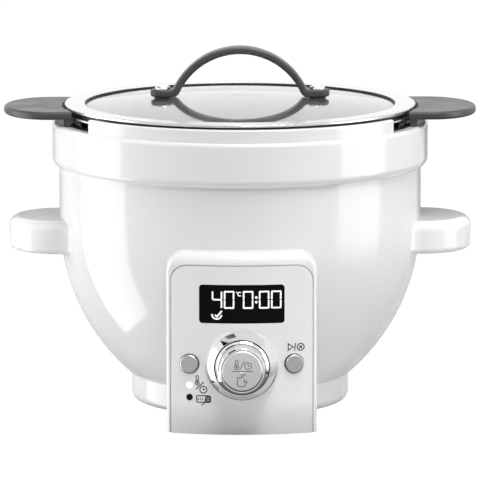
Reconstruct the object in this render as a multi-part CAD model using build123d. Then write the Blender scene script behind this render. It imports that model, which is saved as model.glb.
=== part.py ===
"""Heated mixing bowl: a double-walled housing with a control panel, a lift-out bowl and a glass lid.

Lengths are in millimetres. The bowl's axis is the Z axis, +Z is up, the control panel faces -Y.
"""

import math
import os

from build123d import *

os.makedirs("parts", exist_ok=True)

# Clearances
SLIP_GAP = 0.3      # between pieces put together by hand
MOVE_GAP = 0.4      # between a moving piece and what it passes
SHAFT_GAP = 0.08    # between a turning shaft and its bearing
SCREW_GAP = 0.2     # between a screw and the hole it passes through
OVERCUT = 1.0       # how far a cutting shape runs past the piece

# Bowl-shaped outer shell
SHELL_R = 131.6
SHELL_FLOOR_MARGIN = 11.8
SHELL_CURVE_Z = 134.5
SHELL_WALL = 2.6
SHELL_TOP_Z = 203.2
SHELL_LOW_Z = 14.0

# Foot, base plate and the socket for the mixer's clamp plate
PAD_H = 1.5
PAD_R = 6.0
FOOT_PROUD = 9.4
FOOT_WALL = 3.0
FOOT_ROUND = 6.5
BASE_T = 3.0
SOCKET_R = 58.0
SOCKET_DEPTH = 12.0
DECK_T = 2.5
BOSS_R = 4.0
SCREW_R = 1.6
SCREW_HEAD_R = 3.0
SCREW_HEAD_H = 1.6

# Collar round the rim
COLLAR_PROUD = 4.9
COLLAR_LOW_Z = 175.0
COLLAR_CURVE_H = 5.8
SHOULDER_Z = 207.0
SHOULDER_ROUND = 2.8
LIP_TOP_Z = 216.6
LIP_T = 4.4
LIP_ROUND = 1.4
NOTCH_HALF_ANGLE = 35.4
SEAT_RING_GAP = 8.0

# Lift-out bowl, its brackets and its grips
BOWL_INSET = 17.4
BOWL_WALL = 1.2
BOWL_LOW_Z = 60.0
BOWL_CORNER_R = 22.0
BOWL_RIM_Z = 213.6
BOWL_RIM_GAP = 2.3
GRIP_REACH = 35.0
GRIP_TOP_Z = 218.0
GRIP_T = 5.8
GRIP_HALF_W = 45.4
GRIP_LOBE = 34.0
GRIP_ROUND = 2.0
GRIP_RIB_T = 5.0
BRACKET_T = 1.5
BRACKET_HALF_ANGLE = 21.0
ARM_ANGLE = 14.0
ARM_W = 11.0
ARM_T = 2.4

# Heating well
LINER_GAP = 2.0
LINER_T = 1.0
LINER_LOW_Z = 45.0
PLATE_R = 60.0
PLATE_T = 5.0
ELEMENT_SETBACK = 18.0
ELEMENT_R = 3.4
ELEMENT_GAP_ANGLE = 15.0
TERMINAL_L = 10.0
POST_R = 3.5
POST_SETBACK = 6.0
FUSE_R = 3.0
FUSE_L = 16.0

# Spring-loaded temperature probe
PROBE_R = 9.0
PROBE_H = 6.0
PROBE_STEM_R = 3.5
PROBE_TRAVEL = 3.0
GUIDE_T = 2.0
GUIDE_R = 15.0
GUIDE_TUBE_R = 6.0
GUIDE_TUBE_L = 6.0
SPRING_T = 1.8

# Lid
LID_GAP = 1.8
LID_RING_W = 14.5
LID_TOP_Z = 219.5
LID_RING_T = 1.4
LID_RING_ROUND = 0.6
LID_HEM_W = 2.0
LID_HEM_H = 2.3
GLASS_LAP = 4.0
GLASS_T = 3.0
DOME_R = 970.0
SEAL_SETBACK = 5.0
BEAD_T = 0.8

# Lid handle
HANDLE_H = 36.5
ARCH_R = 53.4
STRAP_T = 5.0
STRAP_W = 15.5
STRAP_ROUND = 1.6
TOE_T = 5.4
TOE_END = 8.9
TOE_BLEND = 2.8
HEEL_ROUND = 6.0
LID_SCREW_OUT = 2.8
LID_SCREW_R = 2.4
LID_SCREW_HEAD_R = 5.6
LID_SCREW_HEAD_H = 2.4
SPACER_R = 6.2
SPACER_H = 0.8
NUT_R = 5.5
NUT_H = 5.0
WASHER_H = 1.6

# Side handles of the housing
EAR_OUT = 36.6
EAR_LOBE = 36.0
EAR_HALF_W = 41.0
EAR_LOW_Z = 113.5
EAR_TOP_Z = 137.0
EAR_TOP_ROUND = 7.0
EAR_LOW_ROUND = 4.0
EAR_FLARE = 12.0
EAR_SINK = 1.5
EAR_SKIN = 0.9
PIN_BORE_OUT = 18.4
PIN_BORE_R = 6.5
PIN_BORE_DEPTH = 16.0
EAR_SCREW_ANGLE = 9.0

# Control panel housing and fascia
PANEL_PROUD = 18.9
PANEL_HALF_W = 53.3
PANEL_LOW_Z = 1.0
PANEL_TOP_Z = 131.0
PANEL_CORNER_R = 14.5
PANEL_EDGE_ROUND = 4.0
PANEL_TOP_ROUND = 8.9
PANEL_WALL = 2.6
PANEL_CURVE_Z = 25.0
PANEL_CURVE_R = 60.0
FRAME_SETBACK = 0.6
FRAME_W = 3.3
FRAME_TOP_W = 8.9
FASCIA_T = 2.2
FASCIA_GAP = 0.8
LEDGE_W = 3.0
LEDGE_T = 2.5
HOUSING_SCREW_INSET = 6.8
HOUSING_SCREW_Z = (62.0, 103.0)
HOUSING_BOSS_R = 4.5
HOUSING_BOSS_L = 9.0

# Display
DISPLAY_Z = 95.4
DISPLAY_W = 60.3
DISPLAY_H = 27.5
DISPLAY_CORNER_R = 1.6
DISPLAY_FLANGE = 2.0
DISPLAY_FLANGE_T = 1.0

# Control board
BOARD_DEPTH = 13.0
BOARD_T = 1.6
BOARD_SIDE_GAP = 10.0
BOARD_LOW_GAP = 8.3
BOARD_TOP_GAP = 3.1
BOARD_POST_R = 3.2
BOARD_POST_INSET = (7.0, 5.0)
BOARD_SCREW_R = 1.2
BOARD_SCREW_HEAD_R = 2.6

# Dial with a push button in its middle
KNOB_Z = 52.3
DIAL_R = 18.9
DIAL_GAP = 0.8
DIAL_TAPER = 2.9
DIAL_H = 27.0
DIAL_LIP_W = 1.3
DIAL_DEPTH = 3.0
DIAL_WEB_T = 4.0
DIAL_WEB_H = 8.0
RING_TOP_W = 0.3
RING_TAPER = 4.1
RING_RISE = 6.0
RING_H = 12.5
BEZEL_PROUD = 1.4
CAP_T = 5.0
CAP_TRAVEL = 1.5
CAP_STEM_R = 3.0
ENCODER_W = 16.0
ENCODER_H = 4.5
ROTOR_R = 5.0

# Side buttons and indicator lights
BUTTON_X = 36.9
BUTTON_Z = 52.3
BUTTON_R = 6.5
BUTTON_GAP = 0.7
BUTTON_RISE = 2.2
BUTTON_TRAVEL = 1.0
BUTTON_FLANGE_W = 1.9
BUTTON_FLANGE_T = 1.2
BUTTON_STEM_R = 2.0
SWITCH_R = 3.2
SWITCH_RISE = 1.4
LIGHT_R = 2.3
LIGHT_Z = (36.9, 28.3)

# Power board and wiring
POWER_BOARD_X = 48.0
POWER_BOARD_Y = 40.0
POWER_POST_H = 4.0
POWER_POST_INSET = 8.0
TRANSFORMER = (30.0, 28.0, 13.0)
RELAY = (19.0, 15.0, 15.0)
HEAT_SINK = (16.0, 8.0, 11.0)
CAPACITOR_R = 7.0
CAPACITOR_H = 14.0
TERMINAL_D = 10.0
RIBBON_Z = 36.0
RIBBON_W = 16.0
RIBBON_T = 1.2
RIBBON_BEND_R = 8.0
RIBBON_END_Y = -36.0
LEAD_R = 1.5

# Power inlet at the back
INLET_Z = 34.0
INLET_W = 24.6
INLET_H = 16.8
INLET_DEPTH = 18.0
INLET_WALL = 2.0
INLET_PROUD = 16.6
INLET_FLANGE = 3.0
INLET_FLANGE_T = 1.5
SURROUND_RIM = 3.0
SURROUND_ROUND = 4.0
PIN_W = 2.0
PIN_H = 4.0
PIN_PITCH = 14.0
PIN_DROP = 2.0
PIN_TAIL = 8.0

# Levels and radii that follow from the sizes above
SHELL_FLOOR_R = SOCKET_R + SHELL_FLOOR_MARGIN
SHELL_IN = SHELL_R - SHELL_FLOOR_R
SHELL_CURVE_R = (SHELL_IN**2 + (SHELL_CURVE_Z - SHELL_LOW_Z) ** 2) / (2 * SHELL_IN)
FOOT_R = SHELL_FLOOR_R + FOOT_PROUD
FOOT_LOW_Z = PAD_H
BASE_LOW_Z = FOOT_LOW_Z + BASE_T
BASE_TOP_Z = BASE_LOW_Z + BASE_T
DECK_Z = BASE_LOW_Z + SOCKET_DEPTH + DECK_T
POWER_BOARD_Z = DECK_Z + POWER_POST_H
POWER_TOP_Z = POWER_BOARD_Z + BOARD_T
SOCKET_WALL_R = SOCKET_R + DECK_T
BOSS_RING_R = SOCKET_WALL_R + BOSS_R + 1.5
PAD_RING_R = (SOCKET_R + FOOT_R - FOOT_ROUND) / 2
LINER_TOP_Z = SHELL_TOP_Z + LINER_T
LINER_FLOOR_Z = LINER_LOW_Z + LINER_T
BOWL_R = SHELL_R - BOWL_INSET
LINER_INSET = BOWL_INSET - LINER_GAP
LINER_OUT_INSET = LINER_INSET - LINER_T
COLLAR_R = SHELL_R + COLLAR_PROUD
COLLAR_BORE_R = SHELL_R + SLIP_GAP
LIP_R = COLLAR_R - SHOULDER_ROUND
LIP_IN_R = LIP_R - LIP_T
BOWL_RIM_R = LIP_IN_R - BOWL_RIM_GAP
LID_R = LIP_IN_R - LID_GAP
LID_RING_IN_R = LID_R - LID_RING_W
GLASS_R = LID_RING_IN_R + GLASS_LAP
SEAL_R = LID_R - SEAL_SETBACK
GRIP_TIP_X = COLLAR_R + GRIP_REACH
RIM_LOW_Z = BOWL_RIM_Z - BOWL_WALL
GRIP_LOW_Z = GRIP_TOP_Z - GRIP_T
GRIP_IN_R = LID_R + 2 * MOVE_GAP + 1.2
GRIP_RIB_LOW_Z = SHOULDER_Z + MOVE_GAP
ARM_LOW_Z = GRIP_RIB_LOW_Z + 1.0
PLATE_LOW_Z = BOWL_LOW_Z - PLATE_T
PLATE_HOLE_R = PROBE_R + 4
ELEMENT_RING_R = PLATE_R - ELEMENT_SETBACK
POST_RING_R = PLATE_R - POST_SETBACK
FUSE_Y = (PLATE_HOLE_R + ELEMENT_RING_R) / 2
ELEMENT_Z = PLATE_LOW_Z - ELEMENT_R / 2
RING_UNDER_Z = LID_TOP_Z - LID_RING_T
DOME_TOP_Z = RING_UNDER_Z - 0.1 + DOME_R - math.sqrt(DOME_R**2 - LID_RING_IN_R**2)
DOME_CENTRE_Z = DOME_TOP_Z - DOME_R
LID_SCREW_X = ARCH_R + LID_SCREW_OUT
GLASS_AT_SCREW_Z = DOME_TOP_Z - LID_SCREW_X**2 / (2 * DOME_R)
TOE_LOW_Z = GLASS_AT_SCREW_Z + SPACER_H
TOE_TOP_Z = TOE_LOW_Z + TOE_T
ARCH_CENTRE_Z = TOE_LOW_Z + HANDLE_H - ARCH_R
TOE_TIP_X = LID_SCREW_X + TOE_END
EAR_TIP_X = SHELL_R + EAR_OUT
PIN_BORE_X = SHELL_R + PIN_BORE_OUT
PANEL_R = SHELL_R + PANEL_PROUD
FASCIA_HALF_W = PANEL_HALF_W - FRAME_W
FASCIA_TOP_Z = PANEL_TOP_Z - FRAME_TOP_W
FASCIA_CORNER_R = PANEL_CORNER_R - LEDGE_W
HOUSING_SCREW_X = PANEL_HALF_W - HOUSING_SCREW_INSET
FASCIA_BACK_R = PANEL_R - FASCIA_T
BUTTON_ANGLE = math.degrees(math.asin(BUTTON_X / PANEL_R))
BUTTON_FLANGE_R = BUTTON_R + BUTTON_FLANGE_W
BUTTON_SEAT = FASCIA_T + BUTTON_FLANGE_R**2 / (2 * FASCIA_BACK_R) + 0.1
BOARD_Y = BOARD_DEPTH - PANEL_R
BOARD_HALF_W = FASCIA_HALF_W - BOARD_SIDE_GAP
BOARD_LOW_Z = PANEL_LOW_Z + BOARD_LOW_GAP
BOARD_TOP_Z = FASCIA_TOP_Z - BOARD_TOP_GAP
BOARD_POST_X = BOARD_HALF_W - BOARD_POST_INSET[0]
BOARD_POST_Z = (BOARD_LOW_Z + BOARD_POST_INSET[1], BOARD_TOP_Z - BOARD_POST_INSET[1])
DIAL_TOP_R = DIAL_R - DIAL_TAPER
DIAL_SHOULDER = RING_H + MOVE_GAP + 0.5
CAP_R = DIAL_TOP_R - MOVE_GAP - DIAL_LIP_W
RING_TOP_R = DIAL_R + DIAL_GAP + RING_TOP_W
RING_R = RING_TOP_R + RING_TAPER
BEZEL_R = RING_R + BEZEL_PROUD
BOARD_AT_BUTTON = -BOARD_Y / math.cos(math.radians(BUTTON_ANGLE)) - PANEL_R
SWITCH_TOP = BOARD_AT_BUTTON + SWITCH_RISE
POWER_POST_X = POWER_BOARD_X - POWER_POST_INSET
POWER_POST_Y = POWER_BOARD_Y - POWER_POST_INSET
INLET_OUT_W = INLET_W + 2 * INLET_WALL
INLET_OUT_H = INLET_H + 2 * INLET_WALL
SURROUND_HALF_W = INLET_OUT_W / 2 + INLET_FLANGE + SURROUND_RIM
SURROUND_HALF_H = INLET_OUT_H / 2 + INLET_FLANGE + SURROUND_RIM


def upright(radius, low, high, x=0.0, y=0.0):
    """A standing cylinder between two heights."""
    rod = Cylinder(radius, high - low, align=(Align.CENTER, Align.CENTER, Align.MIN))
    return Pos(x, y, low) * rod


def tube(inner, outer, low, high, x=0.0, y=0.0):
    """A standing cylinder with a hole right through it."""
    return upright(outer, low, high, x, y) - upright(inner, low - OVERCUT, high + OVERCUT, x, y)


def block(x0, x1, y0, y1, z0, z1):
    """A box between two corners."""
    return Pos((x0 + x1) / 2, (y0 + y1) / 2, (z0 + z1) / 2) * Box(x1 - x0, y1 - y0, z1 - z0)


def turned(*outline):
    """A solid of revolution from a closed outline of (radius, height) points."""
    points = [(radius, 0, height) for radius, height in outline]
    return revolve(make_face(Polyline(*points, close=True)), Axis.Z)


def around(count, ring_r, start=0.0):
    """Centres of equally spaced places on a circle."""
    places = []
    for step in range(count):
        angle = math.radians(start + 360.0 * step / count)
        places.append((ring_r * math.cos(angle), ring_r * math.sin(angle)))
    return places


def facing(angle, z, radius=PANEL_R):
    """A placement on the panel's curve whose local +Z points straight out of it."""
    return Rot(0, 0, angle) * Pos(0, -radius, z) * Rot(90, 0, 0)


def outward(angle, radius, z):
    """A placement at a polar angle from +X whose local +Z points away from the axis."""
    return Rot(0, 0, angle) * Pos(radius, 0, z) * Rot(0, 90, 0)


def bowl_form(inset, low, high):
    """The bowl's full shape, drawn in by an inset, between two heights."""
    centre_r = SHELL_R - SHELL_CURVE_R
    curve_r = SHELL_CURVE_R - inset
    side = SHELL_R - inset
    dip = math.asin((SHELL_CURVE_Z - low) / curve_r)
    start = (centre_r + curve_r * math.cos(dip), 0, low)
    middle = (centre_r + curve_r * math.cos(dip / 2), 0, SHELL_CURVE_Z - curve_r * math.sin(dip / 2))
    end = (side, 0, SHELL_CURVE_Z)
    outline = ThreePointArc(start, middle, end)
    outline += Polyline(end, (side, 0, high), (0, 0, high), (0, 0, low), start)
    return revolve(make_face(outline), Axis.Z)


def shell_radius(z, inset=0.0):
    """Radius of the bowl's shape at a height."""
    if z >= SHELL_CURVE_Z:
        return SHELL_R - inset
    drop = SHELL_CURVE_Z - z
    return SHELL_R - SHELL_CURVE_R + math.sqrt((SHELL_CURVE_R - inset) ** 2 - drop**2)


def front_form(setback):
    """The panel's front curve as a solid of revolution, drawn back by a setback."""
    centre_r = PANEL_R - PANEL_CURVE_R
    curve_r = PANEL_CURVE_R - setback
    low = PANEL_LOW_Z - OVERCUT
    high = PANEL_TOP_Z + OVERCUT
    face_r = PANEL_R - setback
    dip = math.asin((PANEL_CURVE_Z - low) / curve_r)
    start = (centre_r + curve_r * math.cos(dip), 0, low)
    middle = (centre_r + curve_r * math.cos(dip / 2), 0, PANEL_CURVE_Z - curve_r * math.sin(dip / 2))
    end = (face_r, 0, PANEL_CURVE_Z)
    outline = ThreePointArc(start, middle, end)
    outline += Polyline(end, (face_r, 0, high), (0, 0, high), (0, 0, low), start)
    return revolve(make_face(outline), Axis.Z)


def rounded_top():
    """A round block as wide as the panel's frame, with its upper edge rounded over."""
    frame_r = PANEL_R - FRAME_SETBACK
    drum = upright(frame_r, PANEL_LOW_Z - OVERCUT, PANEL_TOP_Z)
    return fillet(drum.edges().group_by(Axis.Z)[-1], PANEL_TOP_ROUND)


def front_prism(half_w, low, top, corner_r):
    """The panel's front outline with rounded top corners, run from in front of it to the foot."""
    outline = FilletPolyline((-half_w, low), (-half_w, top), (half_w, top), (half_w, low), radius=corner_r)
    outline += Line((half_w, low), (-half_w, low))
    depth = PANEL_R + OVERCUT - SOCKET_R
    return Pos(0, -SOCKET_R, 0) * extrude(Plane.XZ * make_face(outline), depth)


def window_form(margin):
    """The display window's rounded outline with a margin round it, run through the panel's front."""
    outline = RectangleRounded(DISPLAY_W + 2 * margin, DISPLAY_H + 2 * margin, DISPLAY_CORNER_R)
    return Pos(0, -SOCKET_R, DISPLAY_Z) * extrude(Plane.XZ * outline, PANEL_R + OVERCUT - SOCKET_R)


def dome_ball(drop):
    """The lid's dome as a full ball, lowered along its own radius by a thickness."""
    return Pos(0, 0, DOME_CENTRE_Z) * Sphere(DOME_R - drop)


def sector(half_angle, radius, low, high):
    """A wedge about +X between two heights."""
    reach = radius / math.cos(math.radians(half_angle))
    x = reach * math.cos(math.radians(half_angle))
    y = reach * math.sin(math.radians(half_angle))
    face = make_face(Polyline((0, 0), (x, -y), (x, y), close=True))
    return Pos(0, 0, low) * extrude(face, high - low)


def both_sides(piece):
    """The piece as it stands at +X together with its twin at -X."""
    return piece, Rot(0, 0, 180) * piece


def ear_patch():
    """The rounded patch of the shell at +X that a side handle's flared root covers."""
    height = EAR_TOP_Z - EAR_LOW_Z + EAR_FLARE
    outline = RectangleRounded(2 * EAR_HALF_W + 2 * EAR_FLARE, height, EAR_FLARE)
    outline = Pos(0, (EAR_LOW_Z + EAR_TOP_Z) / 2) * outline
    return extrude(Plane.YZ * outline, EAR_TIP_X + OVERCUT)


def side_handle():
    """A side handle at +X with a flared root let into the shell, and a bore for a mixer's support pin."""
    mid_x = EAR_TIP_X - EAR_LOBE
    inner_x = SHELL_R - EAR_LOBE
    lobe = EllipticalCenterArc((mid_x, 0), EAR_LOBE, EAR_HALF_W, start_angle=-90, arc_size=180)
    root = Polyline((mid_x, EAR_HALF_W), (inner_x, EAR_HALF_W), (inner_x, -EAR_HALF_W), (mid_x, -EAR_HALF_W))
    seat_r = SHELL_R - EAR_SINK
    outline = make_face(lobe + root) + Circle(seat_r)
    corners = [point for point in outline.vertices()
               if inner_x + OVERCUT < point.X < mid_x - OVERCUT and abs(abs(point.Y) - EAR_HALF_W) < 0.01]
    # The flare ends on the straight side, a little before the lobe begins
    straight_end = mid_x - SLIP_GAP
    flare_room = (straight_end**2 - seat_r**2 + EAR_HALF_W**2) / (2 * (seat_r - EAR_HALF_W))
    outline = fillet(corners, min(EAR_FLARE, flare_room))
    ear = Pos(0, 0, EAR_LOW_Z) * extrude(outline, EAR_TOP_Z - EAR_LOW_Z)
    ear = fillet(ear.edges().group_by(Axis.Z)[-1], EAR_TOP_ROUND)
    ear = fillet(ear.edges().group_by(Axis.Z)[0], EAR_LOW_ROUND)
    joined = bowl_form(0, SHELL_LOW_Z, SHELL_TOP_Z) + ear
    ear = (joined & ear_patch()) - bowl_form(EAR_SKIN, SHELL_LOW_Z, SHELL_TOP_Z)
    ear -= upright(PIN_BORE_R, EAR_LOW_Z - OVERCUT, EAR_LOW_Z + PIN_BORE_DEPTH, PIN_BORE_X)
    for angle in (-EAR_SCREW_ANGLE, EAR_SCREW_ANGLE):
        ear -= outward(angle, 0, ear_screw_z()) * upright(SCREW_R, 0, SHELL_R + screw_reach())
    return ear


def ear_screw_z():
    """Height of the screws that hold a side handle."""
    return (EAR_LOW_Z + EAR_TOP_Z) / 2


def screw_reach():
    """How far a shell screw runs past the shell's outer face."""
    return HOUSING_BOSS_L - 1.5


def shell_screw(place_angle, z):
    """A screw put in from inside the shell, head on its inner face."""
    head_face = shell_radius(z, SHELL_WALL)
    slope = math.asin(max(0.0, SHELL_CURVE_Z - z) / SHELL_CURVE_R)
    seat = head_face - SCREW_HEAD_R * math.tan(slope) - 0.1
    shank = upright(SCREW_R, seat - SCREW_HEAD_H, shell_radius(z) + screw_reach())
    head = upright(SCREW_HEAD_R, seat - SCREW_HEAD_H, seat)
    return outward(place_angle, 0, z) * (shank + head)


def housing_screw_angle(z):
    """Polar angle of the right-hand screw that holds the panel housing at a height."""
    return -90 + math.degrees(math.asin(HOUSING_SCREW_X / (shell_radius(z) + HOUSING_BOSS_L / 2)))


def on_power_board(size, x, y):
    """A box of a width, depth and height standing on the power board."""
    width, depth, height = size
    return block(x - width / 2, x + width / 2, y - depth / 2, y + depth / 2,
                 POWER_TOP_Z, POWER_TOP_Z + height)


pieces = {}

# Outer shell with its base bosses, wire window, inlet window and screw holes
left_angles = (180 - EAR_SCREW_ANGLE, 180 + EAR_SCREW_ANGLE)
screw_places = [(angle, ear_screw_z()) for angle in (-EAR_SCREW_ANGLE, EAR_SCREW_ANGLE) + left_angles]
for height in HOUSING_SCREW_Z:
    right = housing_screw_angle(height)
    screw_places += [(right, height), (-180 - right, height)]
boss_places = around(4, BOSS_RING_R, 45)
pad_places = around(4, PAD_RING_R)

full_form = bowl_form(0, SHELL_LOW_Z, SHELL_TOP_Z)
hollow_form = bowl_form(SHELL_WALL, SHELL_LOW_Z, SHELL_TOP_Z)
shell = full_form - hollow_form
for x, y in boss_places:
    shell += upright(BOSS_R, BASE_TOP_Z, SHELL_LOW_Z + 2 * BOSS_R, x, y) - hollow_form
for x, y in boss_places:
    shell -= upright(SCREW_R, BASE_TOP_Z - OVERCUT, BASE_TOP_Z + 2 * BOSS_R, x, y)
window_half = RIBBON_W / 2 + 4
shell -= block(-window_half, window_half, -SHELL_R, -SOCKET_R, RIBBON_Z - 5, RIBBON_Z + 5)
shell -= block(-INLET_OUT_W / 2 - SLIP_GAP, INLET_OUT_W / 2 + SLIP_GAP, SOCKET_R, SHELL_R,
               INLET_Z - INLET_OUT_H / 2 - SLIP_GAP, INLET_Z + INLET_OUT_H / 2 + SLIP_GAP)
for angle, height in screw_places:
    shell -= outward(angle, 0, height) * upright(SCREW_R + SCREW_GAP, SOCKET_R, SHELL_R + OVERCUT)
for pocket in both_sides(ear_patch() - bowl_form(EAR_SKIN, SHELL_LOW_Z, SHELL_TOP_Z)):
    shell -= pocket
ear_right, ear_left = both_sides(side_handle())
pieces["outer_shell"] = shell
pieces["side_handle_right"] = ear_right
pieces["side_handle_left"] = ear_left
pieces["shell_screws"] = Compound([shell_screw(angle, height) for angle, height in screw_places])

# Foot ring, base plate with the mixer socket, rubber pads and base screws
foot_ring = tube(FOOT_R - FOOT_WALL, FOOT_R, FOOT_LOW_Z, SHELL_LOW_Z + 4 * BASE_T)
foot_ring += tube(SOCKET_R, FOOT_R - FOOT_WALL, FOOT_LOW_Z, BASE_LOW_Z)
toe_edge = [edge for edge in foot_ring.edges().group_by(Axis.Z)[0] if edge.radius > FOOT_R - OVERCUT]
foot_ring = fillet(toe_edge, FOOT_ROUND) - full_form
base_plate = tube(SOCKET_R, FOOT_R - FOOT_WALL - SLIP_GAP, BASE_LOW_Z, BASE_TOP_Z)
base_plate += tube(SOCKET_R, SOCKET_WALL_R, BASE_LOW_Z, DECK_Z)
base_plate += upright(SOCKET_WALL_R, DECK_Z - DECK_T, DECK_Z)
post_places = [(x, y) for x in (-POWER_POST_X, POWER_POST_X) for y in (-POWER_POST_Y, POWER_POST_Y)]
for x, y in post_places:
    base_plate += upright(BOSS_R, DECK_Z, POWER_BOARD_Z, x, y)
    base_plate -= upright(BOARD_SCREW_R, DECK_Z, POWER_BOARD_Z + OVERCUT, x, y)
base_screws = []
for x, y in boss_places:
    head_top = FOOT_LOW_Z + SCREW_HEAD_H
    foot_ring -= upright(SCREW_HEAD_R + SCREW_GAP, FOOT_LOW_Z - OVERCUT, head_top, x, y)
    foot_ring -= upright(SCREW_R + SCREW_GAP, FOOT_LOW_Z, BASE_LOW_Z + OVERCUT, x, y)
    base_plate -= upright(SCREW_R + SCREW_GAP, BASE_LOW_Z - OVERCUT, BASE_TOP_Z + OVERCUT, x, y)
    base_screws.append(upright(SCREW_HEAD_R, FOOT_LOW_Z, head_top, x, y)
                       + upright(SCREW_R, FOOT_LOW_Z, BASE_TOP_Z + 2 * BOSS_R - OVERCUT, x, y))
pieces["foot_ring"] = foot_ring
pieces["base_plate"] = base_plate
pieces["base_screws"] = Compound(base_screws)
pieces["rubber_pads"] = Compound([upright(PAD_R, 0, FOOT_LOW_Z, x, y) for x, y in pad_places])

# Collar with its lip and the two notches for the bowl's grips, and the seat ring inside it
curve_w = COLLAR_R - COLLAR_BORE_R - SLIP_GAP
curve_r = (curve_w**2 + COLLAR_CURVE_H**2) / (2 * curve_w)
half_turn = math.asin(COLLAR_CURVE_H / curve_r) / 2
curve_mid = (COLLAR_R - curve_r * (1 - math.cos(half_turn)), 0,
             COLLAR_LOW_Z + COLLAR_CURVE_H - curve_r * math.sin(half_turn))
curve_top = (COLLAR_R, 0, COLLAR_LOW_Z + COLLAR_CURVE_H)
round_low = (COLLAR_R, 0, SHOULDER_Z - SHOULDER_ROUND)
round_mid = (LIP_R + SHOULDER_ROUND * math.sqrt(0.5), 0,
             SHOULDER_Z - SHOULDER_ROUND * (1 - math.sqrt(0.5)))
round_top = (LIP_R, 0, SHOULDER_Z)
collar_outline = ThreePointArc((COLLAR_R - curve_w, 0, COLLAR_LOW_Z), curve_mid, curve_top)
collar_outline += Line(curve_top, round_low)
collar_outline += ThreePointArc(round_low, round_mid, round_top)
collar_outline += Polyline(
    round_top, (LIP_R, 0, LIP_TOP_Z), (LIP_IN_R, 0, LIP_TOP_Z), (LIP_IN_R, 0, LINER_TOP_Z),
    (COLLAR_BORE_R, 0, LINER_TOP_Z), (COLLAR_BORE_R, 0, COLLAR_LOW_Z), (COLLAR_R - curve_w, 0, COLLAR_LOW_Z))
collar = revolve(make_face(collar_outline), Axis.Z)
collar = fillet(collar.edges().group_by(Axis.Z)[-1], LIP_ROUND)
for notch in both_sides(sector(NOTCH_HALF_ANGLE, COLLAR_R + OVERCUT, SHOULDER_Z, LIP_TOP_Z + OVERCUT)):
    collar -= notch
pieces["rim_collar"] = collar
pieces["seat_ring"] = tube(BOWL_R + SEAT_RING_GAP, LIP_IN_R - SLIP_GAP, LINER_TOP_Z, SHOULDER_Z)

# Lift-out bowl with its welded brackets and moulded grips
bowl = bowl_form(BOWL_INSET, BOWL_LOW_Z, BOWL_RIM_Z)
bowl = fillet(bowl.edges().group_by(Axis.Z)[0], BOWL_CORNER_R)
cavity = bowl_form(BOWL_INSET + BOWL_WALL, BOWL_LOW_Z + BOWL_WALL, BOWL_RIM_Z)
cavity = fillet(cavity.edges().group_by(Axis.Z)[0], BOWL_CORNER_R - BOWL_WALL)
bowl += tube(BOWL_R - BOWL_WALL, BOWL_RIM_R, RIM_LOW_Z, BOWL_RIM_Z)
pieces["inner_bowl"] = bowl - cavity

arm_top_z = ARM_LOW_Z + ARM_T
rib_out_r = GRIP_IN_R + GRIP_RIB_T
strap = tube(BOWL_R, BOWL_R + BRACKET_T, ARM_LOW_Z - 1, arm_top_z + 1)
strap &= sector(BRACKET_HALF_ANGLE, SHELL_R, ARM_LOW_Z - 1, arm_top_z + 1)
bracket = strap
for angle in (-ARM_ANGLE, ARM_ANGLE):
    arm = block(BOWL_R - OVERCUT, rib_out_r - OVERCUT, -ARM_W / 2, ARM_W / 2, ARM_LOW_Z, arm_top_z)
    bracket += Rot(0, 0, angle) * arm - upright(BOWL_R, ARM_LOW_Z - 1, arm_top_z + 1)

lobe_x = GRIP_TIP_X - GRIP_LOBE
lobe = EllipticalCenterArc((lobe_x, 0), GRIP_LOBE, GRIP_HALF_W, start_angle=-90, arc_size=180)
root = Polyline((lobe_x, GRIP_HALF_W), (BOWL_R, GRIP_HALF_W), (BOWL_R, -GRIP_HALF_W), (lobe_x, -GRIP_HALF_W))
grip = Pos(0, 0, GRIP_LOW_Z) * extrude(make_face(lobe + root), GRIP_T)
rims = grip.edges().group_by(Axis.Z)
grip = fillet([edge for edge in rims[-1] + rims[0] if edge.center().X > BOWL_R + OVERCUT], GRIP_ROUND)
rib = tube(GRIP_IN_R, rib_out_r, GRIP_RIB_LOW_Z, GRIP_LOW_Z + GRIP_ROUND)
rib &= block(0, GRIP_TIP_X, -GRIP_HALF_W + GRIP_ROUND, GRIP_HALF_W - GRIP_ROUND,
             GRIP_RIB_LOW_Z, GRIP_LOW_Z + GRIP_ROUND)
grip = grip - upright(GRIP_IN_R, GRIP_LOW_Z - OVERCUT, GRIP_TOP_Z + OVERCUT) + rib - bracket
pieces["bowl_bracket_right"], pieces["bowl_bracket_left"] = both_sides(bracket)
pieces["bowl_grip_right"], pieces["bowl_grip_left"] = both_sides(grip)

# Heating well: liner, plate, element, posts and thermal fuse
terminal_places = []
for angle in (-ELEMENT_GAP_ANGLE, ELEMENT_GAP_ANGLE):
    turn = math.radians(angle)
    terminal_places.append((ELEMENT_RING_R * math.cos(turn), ELEMENT_RING_R * math.sin(turn)))
terminal_low_z = ELEMENT_Z - TERMINAL_L
coil = Rot(0, 0, ELEMENT_GAP_ANGLE) * Torus(
    ELEMENT_RING_R, ELEMENT_R, major_angle=360 - 2 * ELEMENT_GAP_ANGLE)
element = Pos(0, 0, ELEMENT_Z) * coil
for x, y in terminal_places:
    element += Pos(x, y, ELEMENT_Z) * Sphere(ELEMENT_R)
    element += upright(ELEMENT_R, terminal_low_z, ELEMENT_Z, x, y)
heater_plate = tube(PLATE_HOLE_R, PLATE_R, PLATE_LOW_Z, BOWL_LOW_Z) - element
liner = bowl_form(LINER_OUT_INSET, LINER_LOW_Z, LINER_TOP_Z)
liner -= bowl_form(LINER_INSET, LINER_FLOOR_Z, LINER_TOP_Z)
liner += tube(SHELL_R - LINER_INSET, SHELL_R - SLIP_GAP, SHELL_TOP_Z, LINER_TOP_Z)
liner -= upright(GUIDE_TUBE_R + SLIP_GAP, LINER_LOW_Z - OVERCUT, LINER_FLOOR_Z + OVERCUT)
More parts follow.
